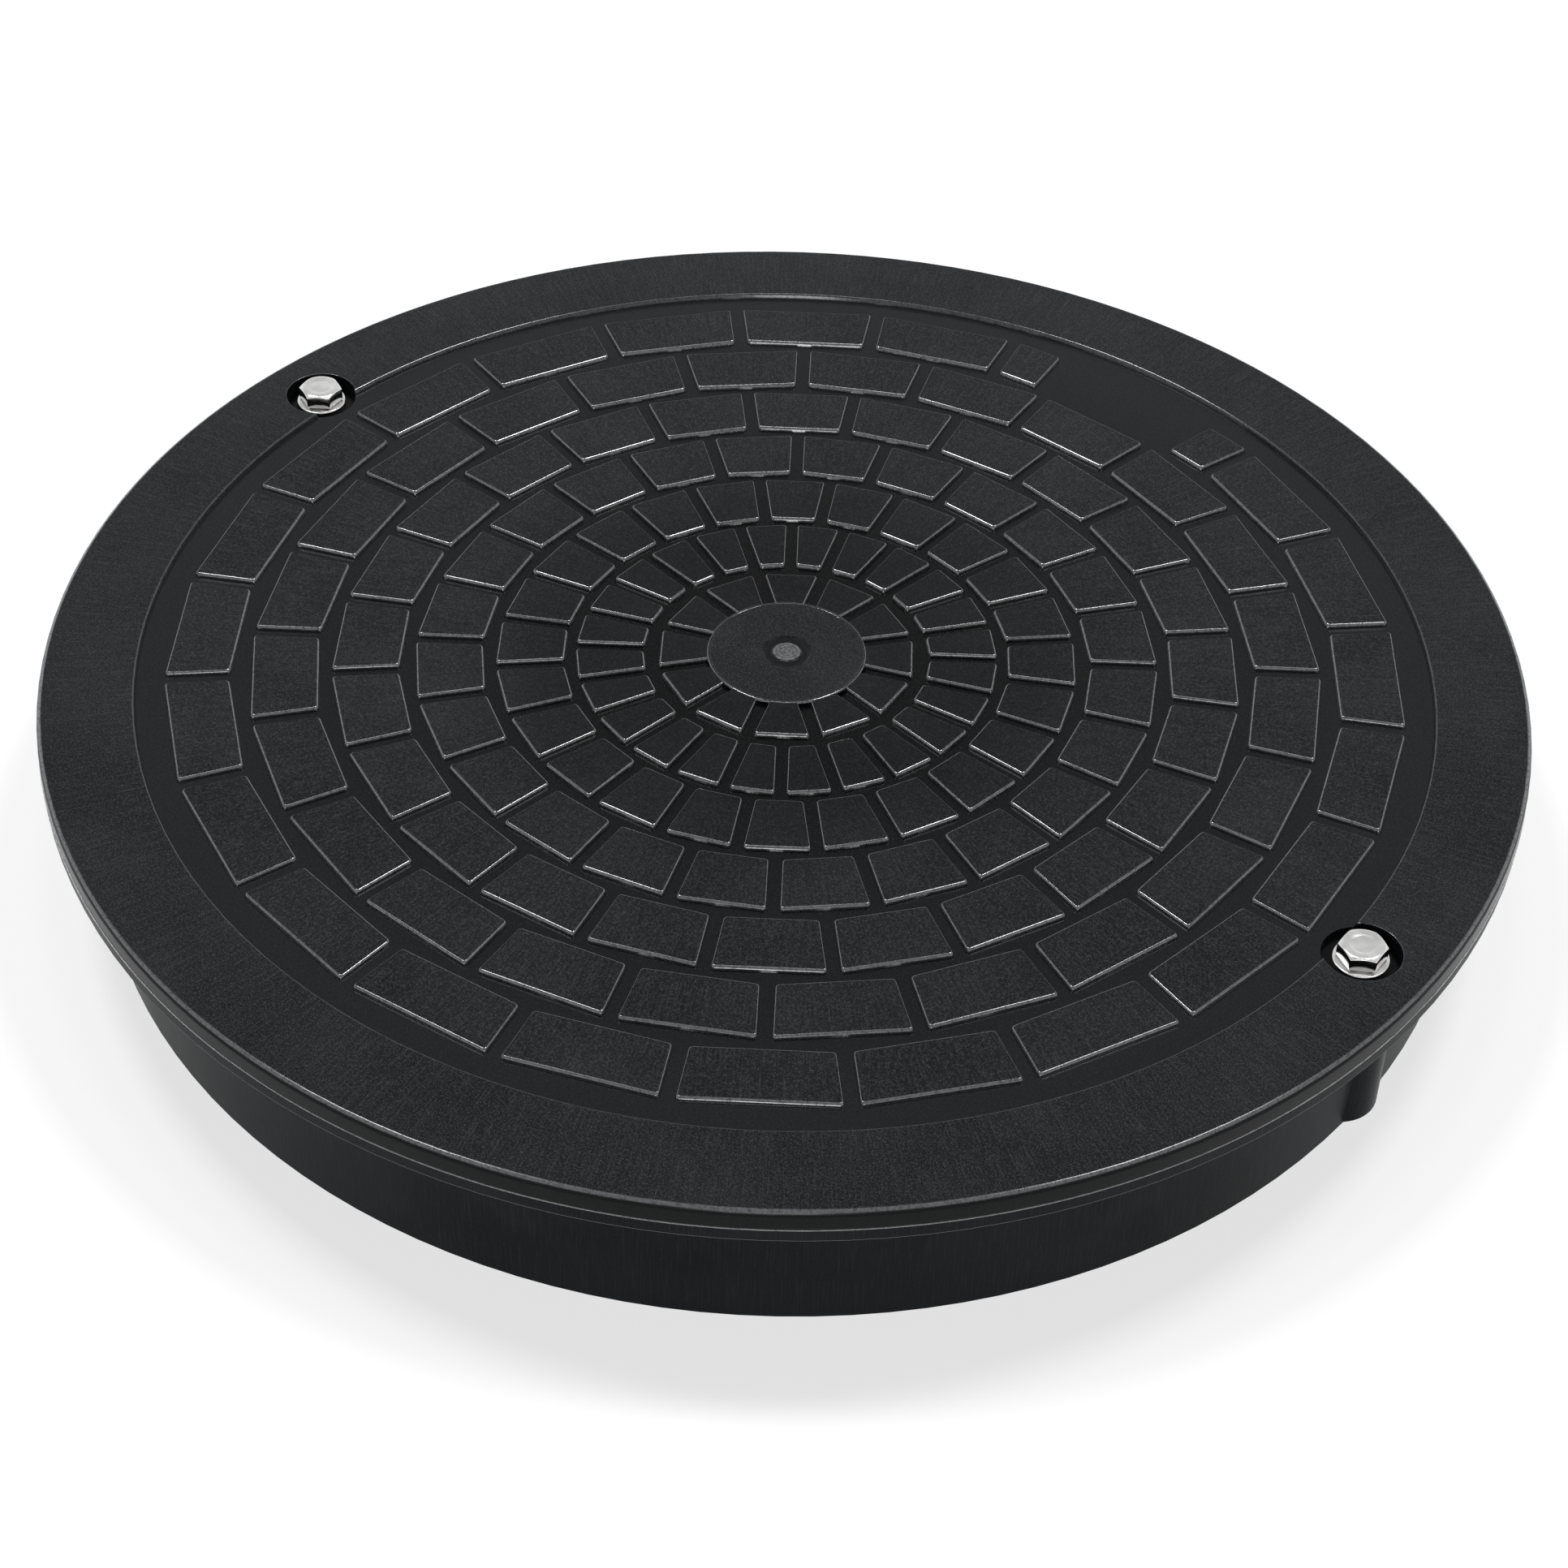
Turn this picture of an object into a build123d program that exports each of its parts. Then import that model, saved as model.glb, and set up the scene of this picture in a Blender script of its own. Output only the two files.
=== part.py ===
from build123d import *
import os
from math import cos, radians, sin, tan

# Round bolted manhole cover for a plastic riser pipe, in millimetres.
# The origin is on the centre line at the lower edge of the frame's skirt, +Z up.
# The two bolts stand near the X axis, and the bare panel of the brick pattern faces +Y.

# Lid plate
lid_diameter = 470.0
lid_edge_height = 7.0
lid_edge_bevel = 1.1
lid_lower_bevel = 0.5
rim_band_width = 29.7
step_depth = 1.8
step_slope = 0.6

# Brick pattern on the lid: wedges round the hub, then rings of bricks in running bond
field_margin = 11.8
wedge_radius = 39.3
brick_count = 24
brick_ring_count = 6
ring_gap = 6.9
brick_gap = 6.4
brick_height = 1.6
brick_draft = 18.0
panel_angle = 90.0
panel_half_width = 9.7
panel_bricks = 2
wedge_count = 12
wedge_root = 5.0
hub_diameter = 50.0
gate_dimple_diameter = 16.0
gate_dimple_depth = 0.5
gate_taper = 60.0
gate_mark_diameter = 10.0
gate_mark_height = 0.4

# Underside of the lid; the ring ribs stand at these shares of the locating ring's radius
rib_depth = 18.0
rib_thickness = 3.0
long_rib_count = 12
ring_rib_places = (0.38, 0.66)
hub_tube_diameter = 30.0
hub_tube_wall = 4.0
spigot_wall = 4.0
spigot_clearance = 1.5
rib_clearance = 3.0
ledge_clearance = 0.5

# Frame: flange, outer skirt, inner sleeve with a pipe socket below and a lid seat above
frame_height = 53.4
flange_thickness = 5.0
flange_bevel = 0.8
flange_overhang = 14.3
skirt_wall = 4.0
skirt_to_sleeve = 15.7
sleeve_wall = 4.0
socket_depth = 34.0
seat_wall = 5.0
ledge_width = 13.0
ledge_thickness = 4.0
web_count = 24
web_thickness = 3.0
web_lift = 6.0

# Bolts, washers and threaded inserts
bolt_inset = 22.5
recess_diameter = 23.8
recess_depth = 4.0
bolt_diameter = 8.0
bolt_length = 30.0
bolt_tip_chamfer = 1.0
head_sides = 6
head_flats = 13.0
head_height = 5.3
head_top_ratio = 0.94
head_chamfer_angle = 30.0
bearing_face_height = 0.4
bearing_face_inset = 0.6
washer_diameter = 17.0
washer_bore = 8.4
washer_thickness = 1.6
washer_edge_bevel = 0.3
bolt_hole_clearance = 0.5
thread_clearance = 0.05
insert_diameter = 12.0
insert_length = 16.0
insert_sink = 0.3
insert_clearance = 0.05
boss_radius = 12.4
boss_bevel = 1.2
boss_bevel_angle = 40.0
tip_clearance = 6.0

# Each bolt: its name, its place round the lid and the turn of its hexagon, in degrees
bolts = (("right", 1.3, 3.0), ("left", 179.5, 8.0))

# Radii that follow from the lid's diameter, from the rim inwards
lid_radius = lid_diameter / 2
bolt_radius = lid_radius - bolt_inset
step_radius = lid_radius - rim_band_width
pattern_radius = step_radius - field_margin
skirt_radius = lid_radius - flange_overhang
sleeve_radius = skirt_radius - skirt_to_sleeve
socket_radius = sleeve_radius - sleeve_wall
seat_radius = sleeve_radius - seat_wall
opening_radius = seat_radius - ledge_width
spigot_radius = seat_radius - spigot_clearance
rib_reach = spigot_radius - spigot_wall / 2
bolt_hole_radius = bolt_diameter / 2 + bolt_hole_clearance
bolt_places = [
    (bolt_radius * cos(radians(place)), bolt_radius * sin(radians(place)))
    for name, place, turn in bolts
]

# Heights above the skirt's lower edge
lid_top = frame_height + lid_edge_height
field_top = lid_top - step_depth
recess_floor = lid_top - recess_depth
ledge_bottom = socket_depth
ledge_top = ledge_bottom + ledge_thickness
flange_bottom = frame_height - flange_thickness
rib_bottom = frame_height - rib_depth
head_bottom = recess_floor + washer_thickness
bolt_tip = head_bottom - bolt_length
pocket_depth = insert_length + insert_sink
blind_depth = frame_height - bolt_tip + tip_clearance

# Spacing of the bricks round a ring, in degrees, and of the rings
brick_pitch = 360 / brick_count
ring_pitch = (pattern_radius - wedge_radius) / brick_ring_count


def ring_sketch(outer, inner):
    """A flat ring between two radii."""
    Circle(outer)
    Circle(inner, mode=Mode.SUBTRACT)


def half_width(radius, half_angle):
    """Half the width of a brick at a radius, where the gaps beside it stay equally wide."""
    return radius * tan(half_angle) - brick_gap / 2 / cos(half_angle)


def brick(inner, outer, count):
    """Outline of one brick that points along +X, straight on all four sides."""
    half_angle = radians(180 / count)
    low = half_width(inner, half_angle)
    high = half_width(outer, half_angle)
    Polygon((inner, -low), (outer, -high), (outer, high), (inner, low), align=None)


def short_brick(inner, outer, side):
    """Outline of a brick that the bare panel cuts short, on one side of the panel."""
    half_angle = radians(180 / brick_count)
    cut = tan(radians(panel_half_width) - half_angle)
    inner_ends = sorted((inner * cut * side, half_width(inner, half_angle) * side))
    outer_ends = sorted((outer * cut * side, half_width(outer, half_angle) * side))
    Polygon(
        (inner, inner_ends[0]),
        (outer, outer_ends[0]),
        (outer, outer_ends[1]),
        (inner, inner_ends[1]),
        align=None,
    )


# Lid: one moulding
with BuildPart() as lid:
    # Plate with a rim band, and a slightly lower field inside the step
    with BuildSketch(Plane.XZ) as plate_section:
        with BuildLine():
            Polyline(
                (0, frame_height),
                (lid_radius, frame_height),
                (lid_radius, lid_top),
                (step_radius, lid_top),
                (step_radius - step_slope, field_top),
                (0, field_top),
                close=True,
            )
        make_face()
        rim_corners = plate_section.vertices().group_by(Axis.X)[-1].sort_by(Axis.Y)
        chamfer(rim_corners[-1], lid_edge_bevel)
        chamfer(rim_corners[0], lid_lower_bevel)
    revolve(axis=Axis.Z)

    # Rings of bricks, each ring turned half a brick against its neighbours
    for ring in range(brick_ring_count):
        outer = pattern_radius - ring * ring_pitch
        inner = outer - ring_pitch + ring_gap
        start = panel_angle + brick_pitch * (ring % 2 + 1) / 2
        with BuildSketch(Plane.XY.offset(field_top)):
            if ring == 0:
                # The outermost ring leaves out whole bricks for the bare panel
                first = start + brick_pitch
                run = 360 - (panel_bricks + 1) * brick_pitch
                with PolarLocations(0, brick_count - panel_bricks, first, run, endpoint=True):
                    brick(inner, outer, brick_count)
                for side in (-1, 1):
                    with PolarLocations(0, 1, panel_angle + side * brick_pitch / 2):
                        short_brick(inner, outer, side)
            else:
                with PolarLocations(0, brick_count, start):
                    brick(inner, outer, brick_count)
        extrude(amount=brick_height, taper=brick_draft)

    # Wedges that start under the hub's edge, and the hub itself
    wedge_inner = hub_diameter / 2 - wedge_root
    with BuildSketch(Plane.XY.offset(field_top)):
        with PolarLocations(0, wedge_count, panel_angle + 180 / wedge_count / 2):
            brick(wedge_inner, wedge_radius, wedge_count)
    extrude(amount=brick_height, taper=brick_draft)
    with BuildSketch(Plane.XY.offset(field_top)):
        Circle(hub_diameter / 2)
    extrude(amount=step_depth)

    # Gate mark: a shallow dimple in the middle of the hub with a low round scar in it
    with BuildSketch(Plane.XY.offset(lid_top)):
        Circle(gate_dimple_diameter / 2)
    extrude(amount=-gate_dimple_depth, taper=gate_taper, mode=Mode.SUBTRACT)
    with BuildSketch(Plane.XY.offset(lid_top - gate_dimple_depth)):
        Circle(gate_mark_diameter / 2)
    extrude(amount=gate_mark_height, taper=gate_taper)

    # Underside: long and short radial ribs that run out to the locating ring
    hub_tube_radius = hub_tube_diameter / 2
    rib_start = hub_tube_radius - hub_tube_wall / 2
    ring_rib_radii = [share * spigot_radius for share in ring_rib_places]
    with BuildSketch(Plane.XY.offset(frame_height)):
        with PolarLocations(rib_start, long_rib_count):
            Rectangle(rib_reach - rib_start, rib_thickness, align=(Align.MIN, Align.CENTER))
        short_start = ring_rib_radii[0]
        with PolarLocations(short_start, long_rib_count, 180 / long_rib_count):
            Rectangle(rib_reach - short_start, rib_thickness, align=(Align.MIN, Align.CENTER))
    extrude(amount=-rib_depth)

    # Ring ribs, the tube under the hub and the locating ring
    rings = [(radius + rib_thickness / 2, radius - rib_thickness / 2) for radius in ring_rib_radii]
    rings.append((hub_tube_radius, hub_tube_radius - hub_tube_wall))
    rings.append((spigot_radius, spigot_radius - spigot_wall))
    for outer, inner in rings:
        with BuildSketch(Plane.XY.offset(frame_height)):
            ring_sketch(outer, inner)
        extrude(amount=-rib_depth)

    # The ribs and the locating ring step up where they pass over the frame's ledge
    with BuildSketch(Plane.XY.offset(ledge_top + ledge_clearance)):
        ring_sketch(seat_radius, opening_radius - rib_clearance)
    extrude(amount=rib_bottom - ledge_top - ledge_clearance, mode=Mode.SUBTRACT)

    # Recesses for the bolt heads, with clearance holes through their floors
    with BuildSketch(Plane.XY.offset(recess_floor)):
        with Locations(*bolt_places):
            Circle(recess_diameter / 2)
    extrude(amount=recess_depth, mode=Mode.SUBTRACT)
    with BuildSketch(Plane.XY.offset(recess_floor)):
        with Locations(*bolt_places):
            Circle(bolt_hole_radius)
    extrude(amount=frame_height - recess_floor, mode=Mode.SUBTRACT)

# Frame: one moulding
with BuildPart() as frame:
    # Flange, skirt and sleeve, joined by the deck under the lid's rim
    with BuildSketch(Plane.XZ) as frame_section:
        with BuildLine():
            Polyline(
                (skirt_radius - skirt_wall, 0),
                (skirt_radius, 0),
                (skirt_radius, flange_bottom),
                (lid_radius, flange_bottom),
                (lid_radius, frame_height),
                (seat_radius, frame_height),
                (seat_radius, ledge_top),
                (opening_radius, ledge_top),
                (opening_radius, ledge_bottom),
                (socket_radius, ledge_bottom),
                (socket_radius, 0),
                (sleeve_radius, 0),
                (sleeve_radius, flange_bottom),
                (skirt_radius - skirt_wall, flange_bottom),
                close=True,
            )
        make_face()
        flange_corners = frame_section.vertices().group_by(Axis.X)[-1]
        chamfer(flange_corners.sort_by(Axis.Y)[0], flange_bevel)
    revolve(axis=Axis.Z)

    # Webs between the sleeve and the skirt, clear of the bosses
    with BuildSketch(Plane.XY.offset(web_lift)):
        web_start = sleeve_radius - sleeve_wall / 2
        web_length = skirt_radius - skirt_wall / 2 - web_start
        with PolarLocations(web_start, web_count, 180 / web_count):
            Rectangle(web_length, web_thickness, align=(Align.MIN, Align.CENTER))
    extrude(amount=flange_bottom - web_lift)

    # Bosses that take the bolts, standing out through the skirt, with bevelled feet
    with BuildSketch(Plane.XY.offset(boss_bevel)):
        with Locations(*bolt_places):
            Circle(boss_radius)
    extrude(amount=flange_bottom - boss_bevel)
    with BuildSketch(Plane.XY.offset(boss_bevel)):
        with Locations(*bolt_places):
            Circle(boss_radius)
    extrude(amount=-boss_bevel, taper=boss_bevel_angle)

    # The pipe's socket stays clear of the bosses
    with BuildSketch(Plane.XY):
        Circle(socket_radius)
    extrude(amount=ledge_bottom, mode=Mode.SUBTRACT)

    # A pocket for the threaded insert, and a blind hole below it for the bolt's tip
    with Locations((0, 0, frame_height)):
        with Locations(*bolt_places):
            CounterBoreHole(bolt_hole_radius, insert_diameter / 2, pocket_depth, blind_depth)

os.makedirs("parts", exist_ok=True)
lid.part.label = "lid"
export_step(lid.part, "parts/lid.step")
frame.part.label = "frame"
export_step(frame.part, "parts/frame.step")

# Heights and radii of the bolt head: the chamfer starts on a circle in the top face
corner_angle = 180 / head_sides
corner_radius = head_flats / 2 / cos(radians(corner_angle))
head_top_radius = head_flats / 2 * head_top_ratio
head_top = head_bottom + head_height
head_cone_low = head_top - (corner_radius - head_top_radius) * tan(radians(head_chamfer_angle))

# Radii and lower end of the threaded insert
insert_radius = insert_diameter / 2 - insert_clearance
thread_radius = bolt_diameter / 2 + thread_clearance
insert_low = frame_height - pocket_depth

for (name, place, turn), (axis_x, axis_y) in zip(bolts, bolt_places):
    bolt_axis = Axis((axis_x, axis_y, 0), (0, 0, 1))
    section_plane = Plane(origin=(axis_x, axis_y, 0), x_dir=(1, 0, 0), z_dir=(0, -1, 0))
    head_plane = Plane((axis_x, axis_y, head_bottom))

    # Bolt: hexagon head with a chamfered top and a round bearing face, and a plain shank
    with BuildPart() as bolt:
        with BuildSketch(head_plane.offset(bearing_face_height)):
            RegularPolygon(head_flats / 2, head_sides, major_radius=False, rotation=turn + corner_angle)
        extrude(amount=head_height - bearing_face_height)
        with BuildSketch(section_plane):
            with BuildLine():
                Polyline(
                    (0, head_bottom),
                    (corner_radius, head_bottom),
                    (corner_radius, head_cone_low),
                    (head_top_radius, head_top),
                    (0, head_top),
                    close=True,
                )
            make_face()
        revolve(axis=bolt_axis, mode=Mode.INTERSECT)
        with BuildSketch(head_plane):
            Circle(head_flats / 2 - bearing_face_inset)
        extrude(amount=bearing_face_height)
        with BuildSketch(head_plane):
            Circle(bolt_diameter / 2)
        extrude(amount=-bolt_length)
        chamfer(bolt.edges().group_by(Axis.Z)[0], bolt_tip_chamfer)
    bolt.part.label = "bolt_" + name
    export_step(bolt.part, "parts/bolt_" + name + ".step")

    # Washer: flat and stamped, with a bevelled upper edge
    with BuildPart() as washer:
        with BuildSketch(Plane((axis_x, axis_y, recess_floor))):
            ring_sketch(washer_diameter / 2, washer_bore / 2)
        extrude(amount=washer_thickness)
        top_edges = washer.edges().filter_by(GeomType.CIRCLE).group_by(Axis.Z)[-1]
        chamfer(top_edges.sort_by(SortBy.RADIUS)[-1], washer_edge_bevel)
    washer.part.label = "washer_" + name
    export_step(washer.part, "parts/washer_" + name + ".step")

    # Threaded insert: a brass sleeve that stands on the floor of its pocket
    with BuildPart() as insert:
        with BuildSketch(Plane((axis_x, axis_y, insert_low))):
            ring_sketch(insert_radius, thread_radius)
        extrude(amount=insert_length)
    insert.part.label = "insert_" + name
    export_step(insert.part, "parts/insert_" + name + ".step")
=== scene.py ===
import math
from collections import namedtuple

import bpy
import numpy as np
from mathutils import Matrix, Vector


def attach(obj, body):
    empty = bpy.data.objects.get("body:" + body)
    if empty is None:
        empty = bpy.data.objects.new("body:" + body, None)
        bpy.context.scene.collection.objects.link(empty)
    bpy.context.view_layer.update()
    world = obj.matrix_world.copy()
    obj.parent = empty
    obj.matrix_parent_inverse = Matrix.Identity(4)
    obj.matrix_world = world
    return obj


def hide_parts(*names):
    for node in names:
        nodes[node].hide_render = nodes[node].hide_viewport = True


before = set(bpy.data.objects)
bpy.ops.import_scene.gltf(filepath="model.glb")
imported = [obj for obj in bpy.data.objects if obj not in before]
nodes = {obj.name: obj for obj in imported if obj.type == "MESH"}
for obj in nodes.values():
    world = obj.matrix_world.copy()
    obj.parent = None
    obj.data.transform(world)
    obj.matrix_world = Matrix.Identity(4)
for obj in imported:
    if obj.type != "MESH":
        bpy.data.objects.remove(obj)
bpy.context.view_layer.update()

# Sizes of the CAD model, in metres. The origin is on the centre line at the skirt's lower edge.
LID_RADIUS = 0.235
LID_TOP = 0.0604
FIELD_TOP = 0.0586
HUB_RADIUS = 0.025
PLATE_UNDERSIDE = 0.0534
BOLT_RADIUS = 0.2125
HEAD_BOTTOM = 0.0580
HEAD_HEIGHT = 0.0053
HEAD_FLATS = 0.013
HEAD_TOP_RADIUS = 0.00611
BEARING_RADIUS = 0.0059
BEARING_HEIGHT = 0.0004
SHANK_RADIUS = 0.004
BOLT_LENGTH = 0.030
INSERT_RADIUS = 0.00595
INSERT_BORE = 0.00405
INSERT_LOW = 0.0371
INSERT_HIGH = 0.0531
THREAD_PITCH = 0.00125

# Where this script's own pieces and colours lie
BRICK_TOP = 0.06024
STEP_MIDDLE = 0.204
RECESS_EDGE = 0.0121
SPRUE_RADIUS = 0.0046

SEED = 11

Bolt = namedtuple("Bolt", "name centre turn")


def bolt_at(name, degrees, turn):
    """A bolt's name, its centre, and the turn of its hexagon in degrees."""
    place = math.radians(degrees)
    return Bolt(name, (BOLT_RADIUS * math.cos(place), BOLT_RADIUS * math.sin(place)), turn)


BOLTS = [bolt_at("right", 1.3, 3.0), bolt_at("left", 179.5, 8.0)]


def grey(level, blue=0.0):
    """A neutral colour from its level in the picture, 0 to 255, a little blue if asked."""
    linear = [max(0.0, (level + shift) / 255) ** 2.2 for shift in (-blue, 0.0, blue)]
    return (*linear, 1.0)


Place = namedtuple("Place", "vector x y z radius angle")


class Shader:
    """A material made of nodes, with short calls for the few kinds of node used here."""

    def __init__(self, name):
        self.material = bpy.data.materials.new(name)
        self.material.use_nodes = True
        self.tree = self.material.node_tree
        self.tree.nodes.clear()
        output = self.add("ShaderNodeOutputMaterial")
        self.surface = self.add("ShaderNodeBsdfPrincipled")
        self.put(output.inputs["Surface"], self.surface.outputs["BSDF"])

    def add(self, kind, **settings):
        node = self.tree.nodes.new(kind)
        for key, value in settings.items():
            setattr(node, key, value)
        return node

    def put(self, socket, value):
        """Links value to the socket if it is another node's output, and otherwise sets it."""
        if isinstance(value, bpy.types.NodeSocket):
            self.tree.links.new(value, socket)
        else:
            socket.default_value = value

    def set(self, **values):
        """Sets inputs of the Principled shader: Base_Color stands for Base Color, and so on."""
        for key, value in values.items():
            self.put(self.surface.inputs[key.replace("_", " ")], value)

    def math(self, operation, *values):
        node = self.add("ShaderNodeMath", operation=operation)
        for socket, value in zip(node.inputs, values):
            self.put(socket, value)
        return node.outputs[0]

    def ramp(self, value, low, high, to_low=0.0, to_high=1.0):
        """Runs smoothly from to_low at low to to_high at high."""
        node = self.add("ShaderNodeMapRange", interpolation_type="SMOOTHSTEP")
        for socket, number in zip(node.inputs, (value, low, high, to_low, to_high)):
            self.put(socket, number)
        return node.outputs[0]

    def noise(self, vector, scale, detail=2.0, roughness=0.5):
        node = self.add("ShaderNodeTexNoise")
        self.put(node.inputs["Vector"], vector)
        node.inputs["Scale"].default_value = scale
        node.inputs["Detail"].default_value = detail
        node.inputs["Roughness"].default_value = roughness
        return node.outputs["Fac"]

    def mix(self, factor, first, second):
        node = self.add("ShaderNodeMix", data_type="RGBA")
        self.put(node.inputs["Factor"], factor)
        self.put(node.inputs[6], first)
        self.put(node.inputs[7], second)
        return node.outputs[2]

    def join(self, x, y, z=0.0):
        node = self.add("ShaderNodeCombineXYZ")
        for socket, value in zip(node.inputs, (x, y, z)):
            self.put(socket, value)
        return node.outputs[0]

    def place(self):
        """Coordinates in the object's own frame."""
        vector = self.add("ShaderNodeTexCoord").outputs["Object"]
        split = self.add("ShaderNodeSeparateXYZ")
        self.put(split.inputs[0], vector)
        x, y, z = split.outputs
        length = self.add("ShaderNodeVectorMath", operation="LENGTH")
        self.put(length.inputs[0], self.join(x, y))
        return Place(vector, x, y, z, length.outputs["Value"], self.math("ARCTAN2", y, x))

    def distance(self, at, centre):
        """The distance from an upright axis."""
        node = self.add("ShaderNodeVectorMath", operation="LENGTH")
        away = self.join(self.math("SUBTRACT", at.x, centre[0]), self.math("SUBTRACT", at.y, centre[1]))
        self.put(node.inputs[0], away)
        return node.outputs["Value"]

    def on_round(self, wall=0.2, upright=0.3):
        """1 where the surface turns from a level face into a wall, and 0 on both. wall and
        upright are the rises of its direction between which the wall begins."""
        split = self.add("ShaderNodeSeparateXYZ")
        self.put(split.inputs[0], self.add("ShaderNodeNewGeometry").outputs["Normal"])
        rise = self.math("ABSOLUTE", split.outputs[2])
        return self.math("MULTIPLY", self.ramp(rise, 0.985, 0.93), self.ramp(rise, wall, upright))

    def polish(self, amount):
        """Clear gloss where the plastic is rubbed smooth."""
        self.put(self.surface.inputs["Coat Weight"], amount)
        self.surface.inputs["Coat Roughness"].default_value = 0.15
        self.surface.inputs["Coat IOR"].default_value = 2.1

    def bump(self, height, strength, distance):
        node = self.add("ShaderNodeBump")
        node.inputs["Strength"].default_value = strength
        node.inputs["Distance"].default_value = distance
        self.put(node.inputs["Height"], height)
        return node.outputs[0]


def brick_plastic(s, outer, streaks, flecks, cloud):
    """The textured tops of bricks, rim and hub, darker where outer is 0."""
    colour = s.mix(s.ramp(cloud, 0.3, 0.75), grey(27, 2), grey(36, 2))
    colour = s.mix(s.ramp(streaks, 0.48, 0.72, 0.0, 0.5), colour, grey(62, 2))
    colour = s.mix(s.ramp(flecks, 0.5, 0.66, 0.0, 0.52), colour, grey(76, 2))
    colour = s.mix(s.ramp(flecks, 0.46, 0.34, 0.0, 0.6), colour, grey(8, 1))
    return s.mix(s.ramp(outer, 0.0, 1.0, 0.6, 0.0), colour, grey(8, 1))


def field_plastic(s, at, outer, flecks):
    """The smoother field between the bricks, darker where outer is 0."""
    colour = s.mix(outer, grey(11, 1), grey(29, 1))
    colour = s.mix(s.ramp(at.radius, 0.15, 0.195), colour, grey(36, 1))
    colour = s.mix(s.ramp(flecks, 0.54, 0.7, 0.0, 0.4), colour, grey(60, 2))
    return s.mix(s.ramp(flecks, 0.46, 0.34, 0.0, 0.4), colour, grey(8, 1))


def marks(s, at, colour, rubbed):
    """Adds painted shade in the bolt recesses, and the torn sprue mark with a ring of painted shade round
    it.
    """
    low = s.ramp(at.z, LID_TOP - 0.0003, LID_TOP - 0.0007)
    # Painted shade: the inside of each bolt recess is darkened
    for placed in BOLTS:
        away = s.distance(at, placed.centre)
        inside = s.math("MULTIPLY", s.ramp(away, RECESS_EDGE, RECESS_EDGE - 0.0004), low)
        colour = s.mix(inside, colour, grey(9, 1))
    above = s.ramp(at.z, FIELD_TOP - 0.0001, FIELD_TOP + 0.0003)
    # Painted shade in a ring round the sprue mark
    sprue_ring_shade = s.math("MULTIPLY", s.ramp(at.radius, 0.0088, 0.0058, 0.0, 0.8), above)
    colour = s.mix(sprue_ring_shade, colour, grey(10, 1))
    scar = s.math("MULTIPLY", s.ramp(at.radius, SPRUE_RADIUS + 0.0004, SPRUE_RADIUS - 0.0002), above)
    rings = s.math("SINE", s.math("MULTIPLY", at.radius, 5200.0))
    torn = s.math("MULTIPLY", s.ramp(rubbed, 0.3, 0.7, 0.35, 1.0), s.ramp(rings, -1.0, 1.0, 0.6, 1.0))
    return s.mix(s.math("MULTIPLY", scar, torn), colour, grey(122, 2))


def lid_plastic():
    """Black polypropylene: textured brick tops, a darker and smoother field between them,
    radial flow streaks, rounded edges painted lighter as a highlight that is partly wear, painted
    shade in the bolt recesses and round the rough sprue mark in the middle."""
    s = Shader("lid_polypropylene")
    at = s.place()
    at_rim = s.ramp(at.radius, LID_RADIUS - 0.007, LID_RADIUS - 0.006)
    edge = s.math("MULTIPLY", s.on_round(), s.math("SUBTRACT", 1.0, at_rim))
    edge = s.math("ADD", edge, s.math("MULTIPLY", s.on_round(0.5, 0.7), at_rim))
    cloud = s.noise(at.vector, 22.0, 3.0, 0.55)
    across = s.join(s.math("MULTIPLY", at.angle, 420.0), s.math("MULTIPLY", at.radius, 60.0))
    streaks = s.noise(across, 1.0, 3.0, 0.65)
    flecks = s.noise(at.vector, 2000.0, 2.0, 0.75)
    rubbed = s.noise(at.vector, 900.0, 3.0, 0.8)
    # 0 on the inner rings, and 1 farther out and on the hub
    outer = s.math("MAXIMUM", s.ramp(at.radius, 0.045, 0.135),
                   s.ramp(at.radius, HUB_RADIUS + 0.0015, HUB_RADIUS - 0.0005))
    on_top = s.ramp(at.z, LID_TOP - 0.0010, LID_TOP - 0.0004)
    colour = s.mix(on_top, field_plastic(s, at, outer, flecks),
                   brick_plastic(s, outer, streaks, flecks, cloud))
    # Rounded edges painted lighter, a painted highlight that is partly wear; the hub and the step get
    # less of it than the bricks and the rim
    off_step = s.math("ABSOLUTE", s.math("SUBTRACT", at.radius, STEP_MIDDLE))
    rubbed_and_highlit = s.math("MULTIPLY", s.ramp(at.radius, 0.018, 0.022),
                  s.ramp(off_step, 0.003, 0.005, 0.4, 1.0))
    rubbed_and_highlit = s.math("MULTIPLY", s.math("MULTIPLY", edge, rubbed_and_highlit), s.ramp(at.z, FIELD_TOP, FIELD_TOP + 0.0003))
    colour = s.mix(s.math("MULTIPLY", rubbed_and_highlit, s.ramp(rubbed, 0.3, 0.7, 0.2, 1.0)), colour, grey(60, 3))
    s.set(Base_Color=marks(s, at, colour, rubbed))
    level = s.math("MULTIPLY", on_top, s.ramp(cloud, 0.2, 0.8, 0.06, 0.12))
    s.set(Roughness=s.math("ADD", level, 0.22))
    s.surface.inputs["Specular IOR Level"].default_value = 0.08
    s.polish(s.math("MULTIPLY", rubbed_and_highlit, s.ramp(rubbed, 0.3, 0.55, 0.4, 1.0)))
    grain = s.math("ADD", s.math("MULTIPLY", streaks, 0.7), s.math("MULTIPLY", flecks, 0.7))
    grain = s.math("MULTIPLY", grain, s.ramp(on_top, 0.0, 1.0, 0.35, 1.0))
    grain = s.math("MULTIPLY", grain, s.ramp(edge, 0.0, 0.5, 1.0, 0.2))
    s.set(Normal=s.bump(grain, 0.25, 0.0002))
    return s.material


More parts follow.
